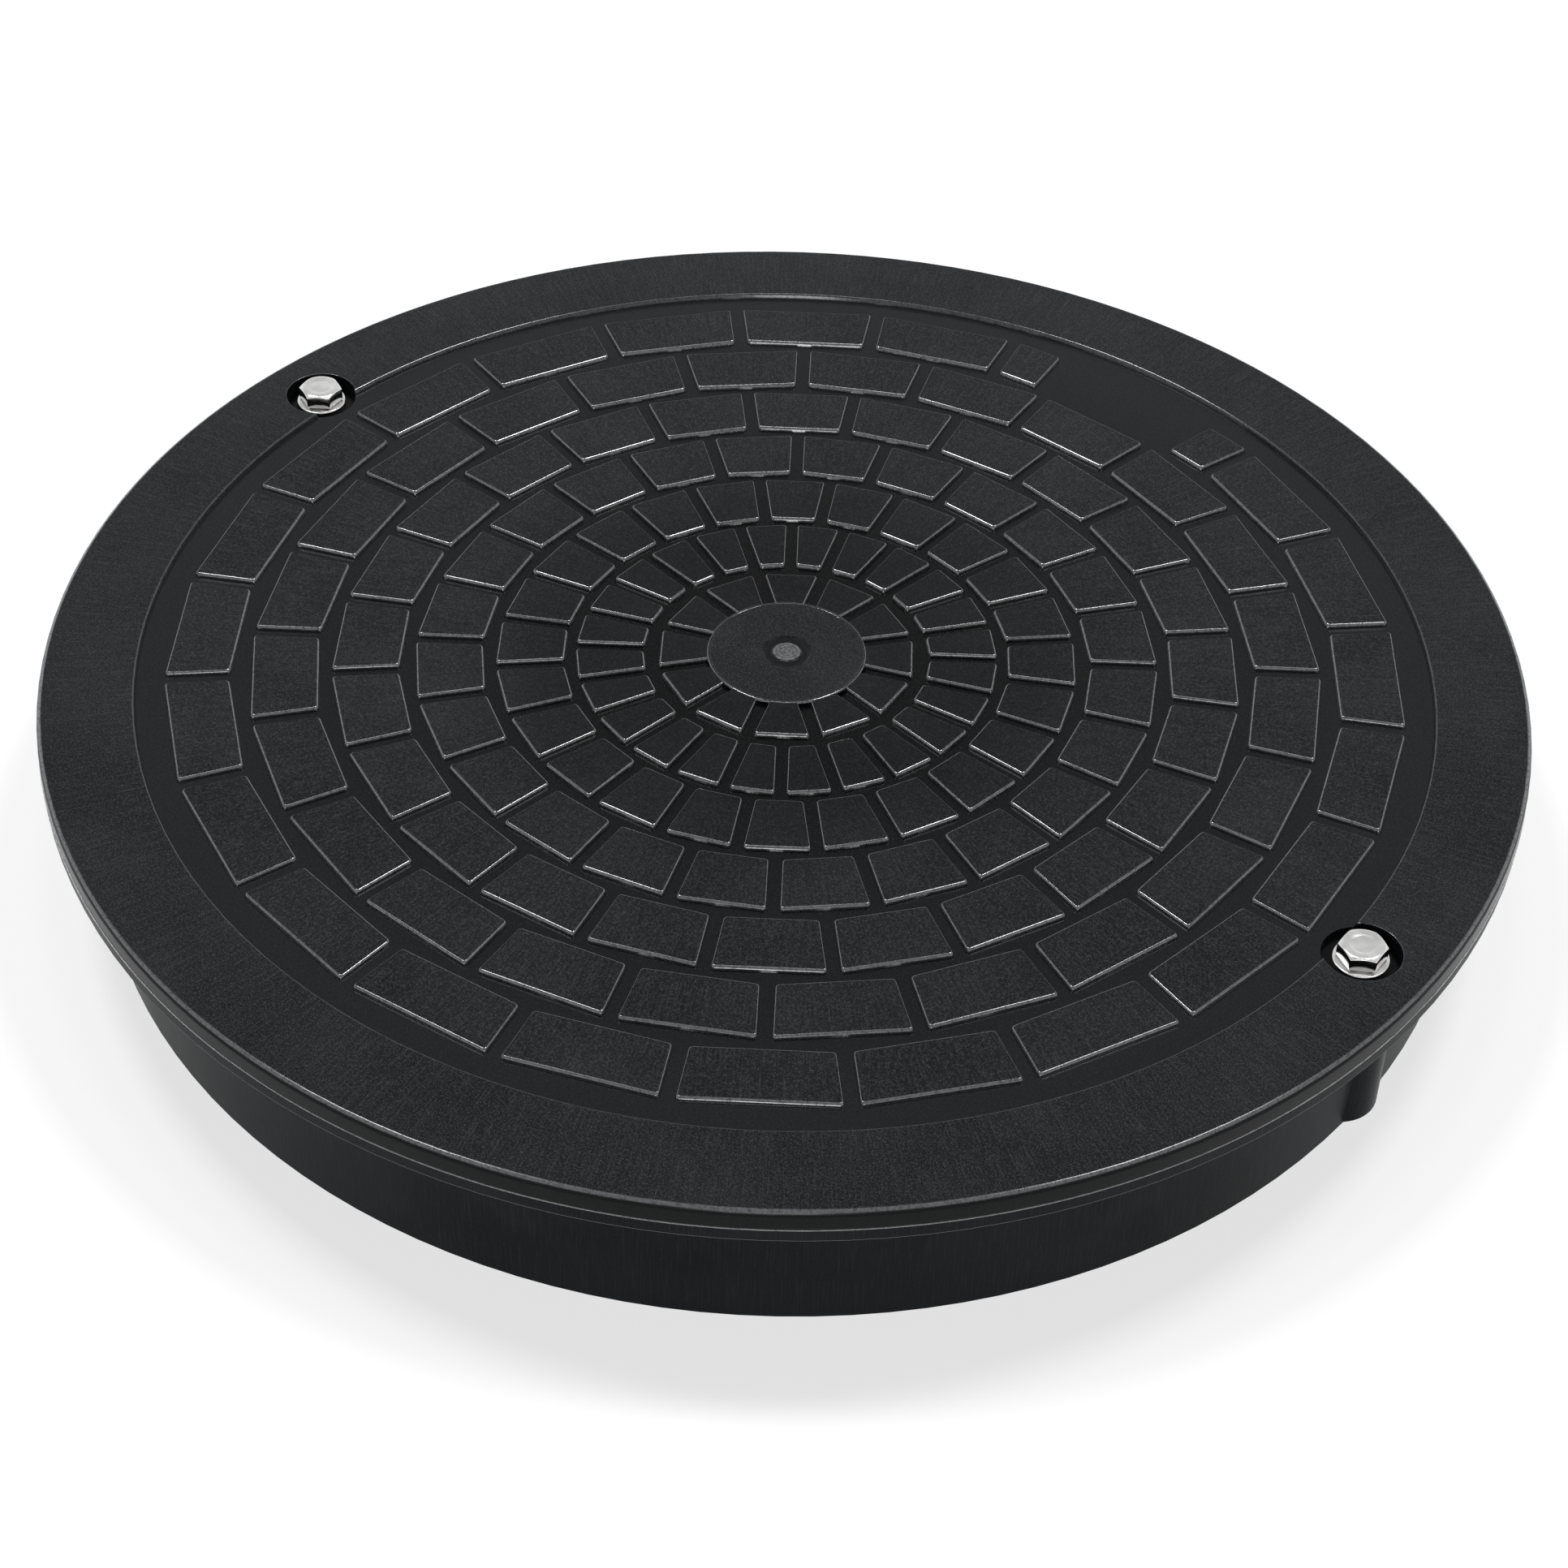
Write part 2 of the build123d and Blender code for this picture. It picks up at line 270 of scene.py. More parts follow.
def frame_plastic():
    """Black polypropylene of the frame: smoother, with faint upright draw lines."""
    s = Shader("frame_polypropylene")
    at = s.place()
    edge = s.on_round()
    cloud = s.noise(at.vector, 16.0, 3.0, 0.55)
    along = s.join(s.math("MULTIPLY", at.angle, 420.0), s.math("MULTIPLY", at.z, 60.0))
    lines = s.noise(along, 1.0, 2.0, 0.6)
    flecks = s.noise(at.vector, 1200.0, 2.0, 0.7)
    colour = s.mix(s.ramp(cloud, 0.35, 0.65), grey(42, 2), grey(54, 3))
    colour = s.mix(s.ramp(lines, 0.48, 0.75, 0.0, 0.5), colour, grey(74, 3))
    colour = s.mix(s.ramp(flecks, 0.55, 0.72, 0.0, 0.6), colour, grey(64, 3))
    # Rounded edges painted a little lighter, a painted highlight
    colour = s.mix(s.math("MULTIPLY", edge, s.ramp(flecks, 0.3, 0.7, 0.2, 0.8)), colour, grey(56, 2))
    s.set(Base_Color=colour, Roughness=s.ramp(cloud, 0.2, 0.8, 0.26, 0.36))
    s.surface.inputs["Specular IOR Level"].default_value = 0.045
    s.polish(s.math("MULTIPLY", edge, 0.6))
    grain = s.math("ADD", s.math("MULTIPLY", lines, 0.4), s.math("MULTIPLY", flecks, 0.6))
    s.set(Normal=s.bump(grain, 0.25, 0.0002))
    return s.material


def zinc(name, centre, roughness):
    """Bright zinc plate with faint turned rings, small pits and a trace of dulling."""
    s = Shader(name)
    at = s.place()
    round_axis = s.join(s.math("MULTIPLY", s.distance(at, centre), 9000.0),
                        s.math("MULTIPLY", at.z, 2000.0))
    rings = s.noise(round_axis, 1.0, 2.0, 0.5)
    pits = s.noise(at.vector, 2600.0, 2.0, 0.6)
    cloud = s.noise(at.vector, 160.0, 2.0, 0.5)
    colour = s.mix(s.ramp(cloud, 0.3, 0.7), grey(206, -1), grey(226, 0))
    colour = s.mix(s.ramp(pits, 0.66, 0.76, 0.0, 0.35), colour, grey(150, 0))
    s.set(Base_Color=colour, Metallic=1.0)
    s.set(Roughness=s.ramp(cloud, 0.25, 0.75, roughness, roughness + 0.06))
    grain = s.math("ADD", s.math("MULTIPLY", rings, 0.4), s.math("MULTIPLY", pits, 0.3))
    s.set(Normal=s.bump(grain, 0.1, 0.0001))
    return s.material


def brass():
    """Turned brass, a little dull."""
    s = Shader("insert_brass")
    at = s.place()
    cloud = s.noise(at.vector, 400.0, 3.0, 0.6)
    rings = s.noise(s.join(s.math("MULTIPLY", at.z, 12000.0), 0.0), 1.0, 2.0, 0.5)
    colour = s.mix(cloud, (0.50, 0.33, 0.10, 1.0), (0.72, 0.54, 0.22, 1.0))
    s.set(Base_Color=colour, Metallic=1.0, Roughness=s.ramp(cloud, 0.3, 0.7, 0.24, 0.4))
    s.set(Normal=s.bump(rings, 0.2, 0.0001))
    return s.material


def painted_highlight_flash():
    """The thin flash along the parting line, painted pale as a highlight."""
    s = Shader("flash_painted_highlight")
    at = s.place()
    torn = s.noise(at.vector, 700.0, 3.0, 0.8)
    # Painted highlight: the flash is coloured near white
    s.set(Base_Color=s.mix(s.ramp(torn, 0.25, 0.6), grey(170, 1), grey(238, 1)))
    s.set(Roughness=s.ramp(torn, 0.2, 0.8, 0.35, 0.55))
    s.surface.inputs["Specular IOR Level"].default_value = 0.3
    return s.material


def give(obj, material):
    obj.data.materials.clear()
    obj.data.materials.append(material)


def new_object(name, vertices, faces, material, smooth=True):
    mesh = bpy.data.meshes.new(name)
    mesh.from_pydata([tuple(v) for v in vertices], [], faces)
    mesh.validate()
    mesh.polygons.foreach_set("use_smooth", [smooth] * len(mesh.polygons))
    mesh.update()
    obj = bpy.data.objects.new(name, mesh)
    bpy.context.scene.collection.objects.link(obj)
    give(obj, material)
    return obj


def turned(radii, heights, start_angle=0.0, centre=(0.0, 0.0), closed=False):
    """Vertices and faces of a turned body. radii and heights have one row per ring and one
    column per angle. A closed body joins its last ring to its first, others get flat ends."""
    radii, heights = np.broadcast_arrays(radii, heights)
    rows, columns = radii.shape
    angles = start_angle + np.arange(columns) * 2 * math.pi / columns
    across, along = centre[0] + radii * np.cos(angles), centre[1] + radii * np.sin(angles)
    points = np.stack([across, along, heights], -1)
    vertices = [tuple(p) for p in points.reshape(-1, 3)]
    faces = []
    for row in range(rows if closed else rows - 1):
        below = (row + 1) % rows
        for column in range(columns):
            after = (column + 1) % columns
            faces.append((row * columns + column, below * columns + column,
                          below * columns + after, row * columns + after))
    if not closed:
        for row, turn in ((0, 1), (rows - 1, -1)):
            centre_index = len(vertices)
            vertices.append((centre[0], centre[1], float(heights[row].mean())))
            for column in range(columns):
                after = (column + 1) % columns
                a, b = row * columns + column, row * columns + after
                faces.append((centre_index, a, b) if turn > 0 else (centre_index, b, a))
    return vertices, faces


def thread(heights, angles, pitch):
    """0 at a thread's root and 1 at its crest, with small flats at both."""
    phase = (heights / pitch - angles / (2 * math.pi)) % 1.0
    ridge = 1 - np.abs(2 * phase - 1)
    return np.clip((ridge - 0.12) / 0.72, 0, 1)


def stacked(rows, columns):
    """Rows of a radius and a height, each one number or one per column, as two arrays."""
    radii = np.stack([np.broadcast_to(radius, (columns,)) for radius, height in rows])
    heights = np.stack([np.broadcast_to(height, (columns,)) for radius, height in rows])
    return radii, heights


def bolt(name, centre, turn, material):
    """Hexagon bolt with a chamfered head, a round mark on top and a real thread."""
    columns = 96
    thread_depth = 0.00062
    start = math.radians(turn + 30)
    phi = np.arange(columns) * 2 * math.pi / columns
    angles = start + phi
    apothem = HEAD_FLATS / 2
    hexagon = apothem / np.cos((phi % (math.pi / 3)) - math.pi / 6)
    top = HEAD_BOTTOM + HEAD_HEIGHT
    slope = math.tan(math.radians(30))
    rim = top - (hexagon - HEAD_TOP_RADIUS) * slope
    mark = 0.0036
    rows = [
        (mark - 0.0003, top - 0.00006),
        (mark, top - 0.00006),
        (mark + 0.0002, top),
        (HEAD_TOP_RADIUS - 0.0002, top),
        (HEAD_TOP_RADIUS + 0.0001, top - 0.00004),
        (hexagon - 0.00025, rim + 0.00014),
        (hexagon - 0.00006, rim - 0.00002),
        (hexagon, rim - 0.0002),
        (hexagon, HEAD_BOTTOM + BEARING_HEIGHT + 0.0002),
        (hexagon - 0.0001, HEAD_BOTTOM + BEARING_HEIGHT),
        (BEARING_RADIUS, HEAD_BOTTOM + BEARING_HEIGHT),
        (BEARING_RADIUS, HEAD_BOTTOM),
        (SHANK_RADIUS, HEAD_BOTTOM),
    ]
    thread_top = HEAD_BOTTOM - 0.0024
    tip = HEAD_BOTTOM - BOLT_LENGTH
    chamfer = 0.0008
    for height in np.arange(thread_top, tip + chamfer, -THREAD_PITCH / 10):
        depth = min(1.0, (thread_top - height) / THREAD_PITCH, (height - tip - chamfer / 2) / chamfer)
        crest = thread(height, angles, THREAD_PITCH)
        rows.append((SHANK_RADIUS - thread_depth * (1 - crest) * max(0.0, depth), height))
    rows.append((SHANK_RADIUS - 0.0007, tip))
    vertices, faces = turned(*stacked(rows, columns), start, centre)
    obj = new_object("bolt_" + name + "_threaded", vertices, faces, material)
    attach(obj, "bolt_" + name)
    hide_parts("bolt_" + name)
    return obj


def insert(name, centre, material):
    """Threaded brass insert: plain outside, with a thread cut outward from the bore."""
    columns = 64
    chamfer = 0.0003
    thread_depth = 0.0005
    angles = np.arange(columns) * 2 * math.pi / columns
    rows = [(INSERT_RADIUS, INSERT_LOW), (INSERT_RADIUS, INSERT_HIGH - chamfer),
            (INSERT_RADIUS - chamfer, INSERT_HIGH), (INSERT_BORE + thread_depth, INSERT_HIGH)]
    for height in np.arange(INSERT_HIGH - thread_depth, INSERT_LOW, -THREAD_PITCH / 10):
        cut = 1 - thread(height, angles, THREAD_PITCH)
        rows.append((INSERT_BORE + thread_depth * cut, height))
    rows.append((INSERT_BORE + chamfer, INSERT_LOW))
    vertices, faces = turned(*stacked(rows, columns), 0.0, centre, closed=True)
    faces = [tuple(reversed(f)) for f in faces]
    obj = new_object("insert_" + name + "_threaded", vertices, faces, material)
    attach(obj, "frame")
    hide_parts("insert_" + name)
    return obj


def parting_flash(material):
    """Thin ragged flash on the flange's upper outer edge, in the groove under the lid's rim."""
    random = np.random.default_rng(SEED)
    columns = 1440
    wave = np.zeros(columns)
    angles = np.arange(columns) * 2 * math.pi / columns
    for count in (3, 7, 11, 19, 31, 53, 90):
        wave += np.sin(count * angles + random.uniform(0, 2 * math.pi)) / math.sqrt(count)
    wave = (wave - wave.min()) / (wave.max() - wave.min())
    height = (0.26 + 0.12 * wave * random.uniform(0.6, 1.0, columns)) * 0.001
    reach = 0.0001 + 0.0001 * wave
    # The flash stays inside the CAD model's box, which the rim touches at four points
    in_box = (LID_RADIUS - 0.000001) / np.maximum(np.abs(np.cos(angles)), np.abs(np.sin(angles)))
    # The way in from the rim, and the shares of the reach and of the height
    rows = [(0.0005, 0.0, 0.0), (0.0, 0.3, 0.0), (0.0, 1.0, 0.3),
            (0.0, 1.0, 0.75), (0.0001, 0.2, 1.0), (0.0004, 0.0, 1.0)]
    low = PLATE_UNDERSIDE - 0.00001
    rows = [(np.minimum(in_box, LID_RADIUS - inset + share * reach), low + height * rise)
            for inset, share, rise in rows]
    vertices, faces = turned(*stacked(rows, columns), closed=True)
    faces = [tuple(reversed(f)) for f in faces]
    obj = new_object("parting_flash", vertices, faces, material)
    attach(obj, "frame")
    return obj


def hub_edge(material):
    """The hub's outer edge with a thin ragged lip, over the wedges that run under it."""
    random = np.random.default_rng(SEED + 2)
    columns = 360
    angles = np.arange(columns) * 2 * math.pi / columns
    ragged = 0.00006 * np.sin(5 * angles + 0.4) + random.uniform(0, 0.00008, columns)
    # The reach past the hub's radius, and the rise above the lid's top
    rows = [(-0.0008, -0.00003), (-0.0005, 0.00002), (0.0, 0.00001), (0.00018, -0.00012),
            (0.00028, -0.00035), (0.0009, -0.0019), (-0.0005, -0.0019)]
    rows = [(HUB_RADIUS + reach + ragged * (reach > 0), LID_TOP + rise) for reach, rise in rows]
    vertices, faces = turned(*stacked(rows, columns), closed=True)
    obj = new_object("hub_edge", vertices, faces, material)
    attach(obj, "lid")
    return obj


# The bricks as they are seen, per ring from the outside: the half gap beside them, their turn in
# degrees, and how far they reach past the CAD model's bricks outward and inward
BRICK_RINGS = [
    (0.0024, 0.0, 0.0010, 0.00035),
    (0.0023, 0.1, 0.0009, 0.0012),
    (0.00215, 0.15, 0.0008, 0.0015),
    (0.0021, 0.25, 0.0009, 0.0016),
    (0.0020, 0.4, 0.0011, 0.0016),
    (0.0019, 0.6, 0.0018, 0.0010),
]
PANEL_PLACE = 90
BRICK_OUTER = 0.1935
BRICK_LENGTH = 0.0188
BRICK_STEP = 0.0257
BRICKS_IN_RING = 24
WEDGES = 12
WEDGE_SPAN = (0.0225, 0.0402)
WEDGE_GAP = 0.0021
# The two bricks beside the bare panel are cut off along lines with this slope and offset
CUT_LINE = (math.tan(math.radians(2.2)), -0.00035)
# The edges beside the gaps that run outward are rounded less than those along the rings
SIDE_SHARE = 0.5
CORNER_CUT = 0.0010
CORNER_STEPS = 3
# A brick's side from the field up: the way in from its outline, the depth below its top, and the
# rise of the surface's direction in degrees
BRICK_SIDE = [
    (-0.00030, 0.00170, 18),
    (-0.00002, 0.00085, 22),
    (0.00008, 0.00060, 33),
    (0.00025, 0.00033, 48),
    (0.00048, 0.00012, 66),
    (0.00085, 0.0, 90),
]


def side_line(count, gap):
    """The slope and offset of a brick's side, for a ring of count bricks, with half the gap beside."""
    half = math.pi / count
    return math.tan(half), -gap / math.cos(half)


def mirrored(line):
    return -line[0], -line[1]


def brick_outline(inner, outer, low, high, inset):
    """Points and outward directions of a four-sided outline with small round corners. low and
    high give its long sides as a slope and an offset."""
    inner, outer = inner + inset, outer - inset
    beside = inset * SIDE_SHARE
    low = (low[0], low[1] + beside * math.hypot(1.0, low[0]))
    high = (high[0], high[1] - beside * math.hypot(1.0, high[0]))
    corners = [Vector((x, side[0] * x + side[1])) for x, side in
               ((inner, low), (outer, low), (outer, high), (inner, high))]
    points, normals = [], []
    for index, corner in enumerate(corners):
        before = (corner - corners[index - 1]).normalized()
        after = (corners[(index + 1) % 4] - corner).normalized()
        cut = min(CORNER_CUT, (corners[(index + 1) % 4] - corner).length * 0.3)
        for step in range(CORNER_STEPS + 1):
            t = step / CORNER_STEPS
            start, end = corner - before * cut, corner + after * cut
            points.append(start * (1 - t) ** 2 + corner * (2 * t * (1 - t)) + end * t ** 2)
            ahead = before.lerp(after, t)
            normals.append(Vector((ahead.y, -ahead.x)).normalized())
    return points, normals


def brick_caps(material):
    """The lid's bricks and wedges with rounded edges, over the plain ones of the CAD model."""
    pitch = 360 / BRICKS_IN_RING
    bricks = []
    for ring, (gap, turn, outward, inward) in enumerate(BRICK_RINGS):
        outer = BRICK_OUTER - ring * BRICK_STEP
        span = (outer - BRICK_LENGTH - inward, outer + outward)
        side = side_line(BRICKS_IN_RING, gap)
        for index in range(BRICKS_IN_RING):
            place = PANEL_PLACE + pitch * (ring % 2 + 1) / 2 + pitch * index
            if ring or 1 <= index <= BRICKS_IN_RING - 2:
                bricks.append((place + turn, *span, mirrored(side), side))
        if ring == 0:
            bricks.append((PANEL_PLACE + pitch / 2, *span, CUT_LINE, side))
            bricks.append((PANEL_PLACE - pitch / 2, *span, mirrored(side), mirrored(CUT_LINE)))
    side = side_line(WEDGES, WEDGE_GAP)
    for index in range(WEDGES):
        place = PANEL_PLACE + pitch / 2 + 360 / WEDGES * index
        bricks.append((place, *WEDGE_SPAN, mirrored(side), side))
    vertices, faces, normals = [], [], []
    for place, inner, outer, low, high in bricks:
        turn = Matrix.Rotation(math.radians(place), 3, "Z")
        for level, (inset, depth, rise) in enumerate(BRICK_SIDE):
            outline, outward = brick_outline(inner, outer, low, high, inset)
            first, count = len(vertices), len(outline)
            flat, upward = math.cos(math.radians(rise)), math.sin(math.radians(rise))
            for point, normal in zip(outline, outward):
                vertices.append(turn @ Vector((point.x, point.y, BRICK_TOP - depth)))
                normals.append(turn @ Vector((normal.x * flat, normal.y * flat, upward)))
            if level:
                for index in range(count):
                    after = (index + 1) % count
                    below = first - count
                    faces.append((below + index, below + after, first + after, first + index))
        faces.append(tuple(range(first, first + count)))
    obj = new_object("brick_caps", vertices, faces, material)
    obj.data.normals_split_custom_set_from_vertices(normals)
    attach(obj, "lid")
    return obj


def gate_scar(material):
    """The rough nub in the middle of the hub, where the sprue was cut off."""
    random = np.random.default_rng(SEED + 1)
    columns, rings = 40, 12
    angles = np.arange(columns) * 2 * math.pi / columns
    rows = []
    for ring in range(rings + 1):
        share = 1 - ring / rings * 0.96
        radius = SPRUE_RADIUS * share * (1 + 0.03 * np.sin(3 * angles + 1.0) + 0.02 * np.sin(7 * angles))
        lip = 0.00016 * np.exp(-((share - 0.72) / 0.12) ** 2) * (1 + np.sin(angles - 2.4))
        rise = 0.00012 * (1 - share ** 4) + lip + random.uniform(0, 0.00005, columns)
        height = LID_TOP - 0.00012 + (rise if ring else -0.0001)
        rows.append((radius, height))
    vertices, faces = turned(*stacked(rows, columns))
    faces = [tuple(reversed(f)) for f in faces]
    obj = new_object("gate_scar", vertices, faces, material)
    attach(obj, "lid")
    return obj


# The circles that the ejector marks stand on: radius, count, and the first one's place in degrees
EJECTOR_CIRCLES = [(0.052, 6, 15.0), (0.104, 12, 7.5), (0.163, 12, 7.5)]


def ejector_marks(material):
    """Low round marks under the lid's plate, where the mould's ejector pins pushed."""
    vertices, faces = [], []
    columns = 32
    for radius, count, turn in EJECTOR_CIRCLES:
        for index in range(count):
            angle = math.radians(turn + 360 * index / count)
            centre = (radius * math.cos(angle), radius * math.sin(angle))
            rings = [(0.0031, PLATE_UNDERSIDE - 0.00025), (0.0034, PLATE_UNDERSIDE - 0.00025),
                     (0.0036, PLATE_UNDERSIDE - 0.0002), (0.0037, PLATE_UNDERSIDE + 0.0001)]
            more_vertices, more_faces = turned(*stacked(rings, columns), 0.0, centre)
            offset = len(vertices)
            vertices += more_vertices
            faces += [tuple(i + offset for i in reversed(f)) for f in more_faces]
    obj = new_object("ejector_marks", vertices, faces, material)
    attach(obj, "lid")
    return obj


SHARP_ANGLE = math.radians(25)


def round_weights(name, rules):
    """Nodes that give the outer edges a bevel weight by rules: the least and greatest angle
    between the faces in degrees, of the height, and of the radius, and then the weight."""
    tree = bpy.data.node_groups.new(name, "GeometryNodeTree")
    for way in ("INPUT", "OUTPUT"):
        tree.interface.new_socket("Geometry", in_out=way, socket_type="NodeSocketGeometry")
    start = tree.nodes.new("NodeGroupInput")
    end = tree.nodes.new("NodeGroupOutput")

    def math_node(operation, first, second):
        node = tree.nodes.new("ShaderNodeMath")
        node.operation = operation
        for socket, value in zip(node.inputs, (first, second)):
            if isinstance(value, bpy.types.NodeSocket):
                tree.links.new(value, socket)
            else:
                socket.default_value = value
        return node.outputs[0]

    def between(value, least, greatest):
        return math_node("MULTIPLY", math_node("GREATER_THAN", value, least),
                         math_node("LESS_THAN", value, greatest))

    angle = tree.nodes.new("GeometryNodeInputMeshEdgeAngle").outputs["Signed Angle"]
    split = tree.nodes.new("ShaderNodeSeparateXYZ")
    tree.links.new(tree.nodes.new("GeometryNodeInputPosition").outputs[0], split.inputs[0])
    squares = [math_node("MULTIPLY", socket, socket) for socket in split.outputs[:2]]
    radius = math_node("SQRT", math_node("ADD", *squares), 0.0)
    total = 0.0
    for angles, heights, radii, weight in rules:
        value = between(angle, math.radians(angles[0]), math.radians(angles[1]))
        value = math_node("MULTIPLY", value, between(split.outputs[2], *heights))
        value = math_node("MULTIPLY", value, between(radius, *radii))
        total = math_node("MAXIMUM", total, math_node("MULTIPLY", value, weight))
    store = tree.nodes.new("GeometryNodeStoreNamedAttribute")
    store.data_type = "FLOAT"
    store.domain = "EDGE"
    store.inputs["Name"].default_value = "bevel_weight_edge"
    tree.links.new(total, store.inputs["Value"])
    tree.links.new(start.outputs[0], store.inputs[0])
    # The other bent edges stay sharp, so that the faces beside them are lit as flat
    sharp = tree.nodes.new("GeometryNodeStoreNamedAttribute")
    sharp.data_type = "BOOLEAN"
    sharp.domain = "EDGE"
    sharp.inputs["Name"].default_value = "sharp_edge"
    bent = math_node("GREATER_THAN", math_node("ABSOLUTE", angle, 0.0), SHARP_ANGLE)
    left_out = math_node("LESS_THAN", total, 0.001)
    tree.links.new(math_node("MULTIPLY", bent, left_out), sharp.inputs["Value"])
    tree.links.new(store.outputs[0], sharp.inputs[0])
    tree.links.new(sharp.outputs[0], end.inputs[0])
    return tree


def soften(obj, width, rules):
    """Rounds the CAD node's outer edges by modifiers, and leaves its mesh as it is."""
    obj.data.polygons.foreach_set("use_smooth", [True] * len(obj.data.polygons))
    weld = obj.modifiers.new("weld", "WELD")
    weld.merge_threshold = 0.000002
    weights = obj.modifiers.new("weights", "NODES")
    weights.node_group = round_weights("weights_" + obj.name, rules)
    bevel = obj.modifiers.new("round_edges", "BEVEL")
    bevel.width = width
    bevel.segments = 3
    bevel.limit_method = "WEIGHT"
    bevel.use_clamp_overlap = False
    normals = obj.modifiers.new("flat_faces", "WEIGHTED_NORMAL")
    normals.mode = "FACE_AREA"
    normals.weight = 50
    normals.keep_sharp = True


# How wide the rounded edges are
LID_ROUND = 0.001
FRAME_ROUND = 0.0003
WASHER_ROUND = 0.0001
# Which edges are rounded: the ranges of angle, height and radius, and the share of the width
ANYWHERE = (-1.0, 1.0)
LID_ROUNDS = [
    ((35, 80), (0.0603, 1.0), (0.19, 0.21), 0.6),
    ((35, 80), (0.0590, 1.0), (0.23, 1.0), 0.77),
    ((80, 180), (0.0603, 1.0), (0.03, 1.0), 0.15),
    ((35, 80), (0.0, 0.0585), ANYWHERE, 0.2),
    ((80, 180), (0.0, 0.0585), ANYWHERE, 0.15),
]
EVERY_ROUND = [((35, 180), ANYWHERE, ANYWHERE, 1.0)]

lid_material = lid_plastic()
frame_material = frame_plastic()
brass_material = brass()
give(nodes["lid"], lid_material)
give(nodes["frame"], frame_material)
soften(nodes["lid"], LID_ROUND, LID_ROUNDS)
soften(nodes["frame"], FRAME_ROUND, EVERY_ROUND)
for placed_bolt in BOLTS:
    side, centre = placed_bolt.name, placed_bolt.centre
    give(nodes["washer_" + side], zinc("washer_zinc_" + side, centre, roughness=0.2))
    soften(nodes["washer_" + side], WASHER_ROUND, EVERY_ROUND)
    bolt(side, centre, placed_bolt.turn, zinc("bolt_zinc_" + side, centre, roughness=0.15))
    insert(side, centre, brass_material)
parting_flash(painted_highlight_flash())
ejector_marks(lid_material)
gate_scar(lid_material)
brick_caps(lid_material)
hub_edge(lid_material)


# How the floor changes away from the object: between which radii, and its first and last value
FLOOR_COLOUR = (0.25, 1.3, 0.34, 0.12)
FLOOR_GLOW = (0.25, 0.9, 0.72, 0.95)
# How white the world looks: between which upward directions, and its first and last value
WORLD_SEEN = (0.35, 0.72, 1.0, 0.68)
# How strongly it lights the object
WORLD_LIGHT = 0.11


def seen_directly(tree):
    """1 for rays that show the background itself or mirror it, and 0 for light on the object."""
    path = tree.nodes.new("ShaderNodeLightPath")
    total = path.outputs["Is Camera Ray"]
    for name in ("Is Glossy Ray", "Is Transmission Ray"):
        node = tree.nodes.new("ShaderNodeMath")
        node.operation = "MAXIMUM"
        tree.links.new(total, node.inputs[0])
        tree.links.new(path.outputs[name], node.inputs[1])
        total = node.outputs[0]
    return total


def smooth_ramp(tree, value, low, high, to_low, to_high):
    """A number that runs smoothly from to_low at low to to_high at high."""
    node = tree.nodes.new("ShaderNodeMapRange")
    node.interpolation_type = "SMOOTHSTEP"
    tree.links.new(value, node.inputs["Value"])
    for socket, number in zip(node.inputs[1:], (low, high, to_low, to_high)):
        socket.default_value = number
    return node.outputs[0]


def stage_material():
    """Pale floor that keeps the object's soft shadow. Near the object it is a plain matt floor,
    and farther off it glows white where it is seen."""
    material = bpy.data.materials.new("pale_floor")
    material.use_nodes = True
    tree = material.node_tree
    tree.nodes.clear()
    output = tree.nodes.new("ShaderNodeOutputMaterial")
    place = tree.nodes.new("ShaderNodeTexCoord").outputs["Object"]
    away = tree.nodes.new("ShaderNodeVectorMath")
    away.operation = "LENGTH"
    tree.links.new(place, away.inputs[0])
    radius = away.outputs["Value"]
    diffuse = tree.nodes.new("ShaderNodeBsdfDiffuse")
    tree.links.new(smooth_ramp(tree, radius, *FLOOR_COLOUR), diffuse.inputs["Color"])
    glow = tree.nodes.new("ShaderNodeEmission")
    glow.inputs["Color"].default_value = (1.0, 1.0, 1.0, 1.0)
    strength = tree.nodes.new("ShaderNodeMath")
    strength.operation = "MULTIPLY"
    tree.links.new(smooth_ramp(tree, radius, *FLOOR_GLOW), strength.inputs[0])
    tree.links.new(seen_directly(tree), strength.inputs[1])
    tree.links.new(strength.outputs[0], glow.inputs["Strength"])
    both = tree.nodes.new("ShaderNodeAddShader")
    tree.links.new(diffuse.outputs[0], both.inputs[0])
    tree.links.new(glow.outputs[0], both.inputs[1])
    # From below, the floor is left out so that the object's underside is seen
    one_sided = tree.nodes.new("ShaderNodeMixShader")
    tree.links.new(tree.nodes.new("ShaderNodeNewGeometry").outputs["Backfacing"], one_sided.inputs[0])
    tree.links.new(both.outputs[0], one_sided.inputs[1])
    tree.links.new(tree.nodes.new("ShaderNodeBsdfTransparent").outputs[0], one_sided.inputs[2])
    tree.links.new(one_sided.outputs[0], output.inputs["Surface"])
    return material


def build_floor():
    size = 6.0
    corners = [(-size, -size, 0), (size, -size, 0), (size, size, 0), (-size, size, 0)]
    floor = new_object("floor", corners, [(0, 1, 2, 3)], stage_material(), smooth=False)
    floor.location.z = -0.0002


